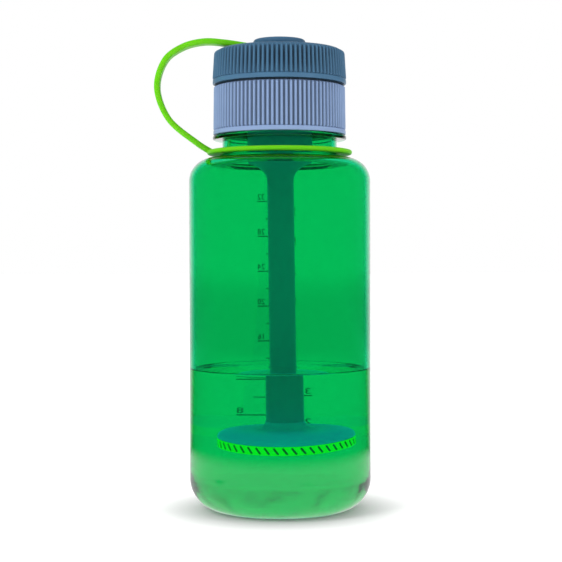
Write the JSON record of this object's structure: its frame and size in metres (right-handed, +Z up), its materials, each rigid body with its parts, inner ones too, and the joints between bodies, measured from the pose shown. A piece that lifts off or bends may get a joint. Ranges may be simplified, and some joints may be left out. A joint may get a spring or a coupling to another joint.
{
  "type": "water bottle",
  "caption": "Rigid wide-mouth bottle in clear green plastic with a two-stage ribbed screw cap, a strap tether, and an inner stem that ends in a slotted diffuser.",
  "frame": {"origin": "on the bottle's axis, in the plane that the bottle stands on", "axes": "+Z up along the bottle's axis, -X towards the strap's loop, -Y towards the mouthpiece under the lid"},
  "size_m": [0.1113, 0.0934, 0.2426],
  "materials": {
    "bottle_plastic": "clear, glossy",
    "collar_plastic": "satin, moulded",
    "lid_plastic": "satin, moulded",
    "tether_rubber": "smooth, soft sheen",
    "stem_plastic": "satin",
    "dome_plastic": "satin",
    "diffuser_rubber": "soft sheen",
    "seal_rubber": "translucent silicone",
    "bowl_ceramic": "glazed",
    "screen_steel": "perforated"
  },
  "bodies": {
    "bottle": {"bottle_body": "bottle_plastic"},
    "tether_base": {"tether_lower": "tether_rubber"},
    "tether_mid": {"tether_upper": "tether_rubber"},
    "tether_top": {"tether_cap_ring": "tether_rubber"},
    "collar_carrier": {"neck_gasket": "seal_rubber"},
    "collar": {"collar_shell": "collar_plastic", "collar_deck": "lid_plastic", "mouthpiece": "lid_plastic", "mouthpiece_seal": "seal_rubber", "bowl_sleeve": "seal_rubber", "stem_seal": "seal_rubber"},
    "stem": {"stem_tube": "stem_plastic", "diffuser_dome": "dome_plastic"},
    "diffuser": {"diffuser_pan": "diffuser_rubber"},
    "bowl": {"bowl": "bowl_ceramic", "bowl_screen": "screen_steel"},
    "lid_carrier": {"lid_gasket": "seal_rubber"},
    "lid": {"lid_shell": "lid_plastic", "lid_liner": "seal_rubber", "lid_knob": "lid_plastic", "knob_seal": "seal_rubber"}
  },
  "joints": [
    {"name": "tether_swivel", "type": "hinge", "parent": "bottle", "child": "tether_base", "pos_m": [0, 0, 0.1838], "axis": [0, 0, 1], "continuous": true},
    {"name": "strap_rise", "type": "slide", "parent": "tether_base", "child": "tether_mid", "axis": [0, 0, 1], "range_m": [0, 0.0068]},
    {"name": "cap_ring_rise", "type": "slide", "parent": "tether_mid", "child": "tether_top", "axis": [0, 0, 1], "range_m": [0, 0.0057]},
    {"name": "collar_rise", "type": "slide", "parent": "bottle", "child": "collar_carrier", "axis": [0, 0, 1], "range_m": [0, 0.0068]},
    {"name": "collar_turn", "type": "hinge", "parent": "collar_carrier", "child": "collar", "pos_m": [0, 0, 0.2], "axis": [0, 0, 1], "range_deg": [0, 540]},
    {"name": "stem_release", "type": "slide", "parent": "collar", "child": "stem", "axis": [0.0113, 0.0698, -0.9975], "range_m": [0, 0.012]},
    {"name": "diffuser_release", "type": "slide", "parent": "stem", "child": "diffuser", "axis": [0.0113, 0.0698, -0.9975], "range_m": [0, 0.006]},
    {"name": "bowl_lift", "type": "slide", "parent": "collar", "child": "bowl", "axis": [0, 0, 1], "range_m": [0, 0.008]},
    {"name": "lid_rise", "type": "slide", "parent": "collar", "child": "lid_carrier", "axis": [0, 0, 1], "range_m": [0, 0.0057]},
    {"name": "lid_turn", "type": "hinge", "parent": "lid_carrier", "child": "lid", "pos_m": [0, 0, 0.225], "axis": [0, 0, 1], "range_deg": [0, 450]}
  ],
  "couplings": [
    {"joint": "collar_rise", "follows": "collar_turn", "m_per_rad": 0.0007162},
    {"joint": "strap_rise", "follows": "collar_turn", "m_per_rad": 0.0007162},
    {"joint": "lid_rise", "follows": "lid_turn", "m_per_rad": 0.0007162},
    {"joint": "cap_ring_rise", "follows": "lid_turn", "m_per_rad": 0.0007162}
  ]
}
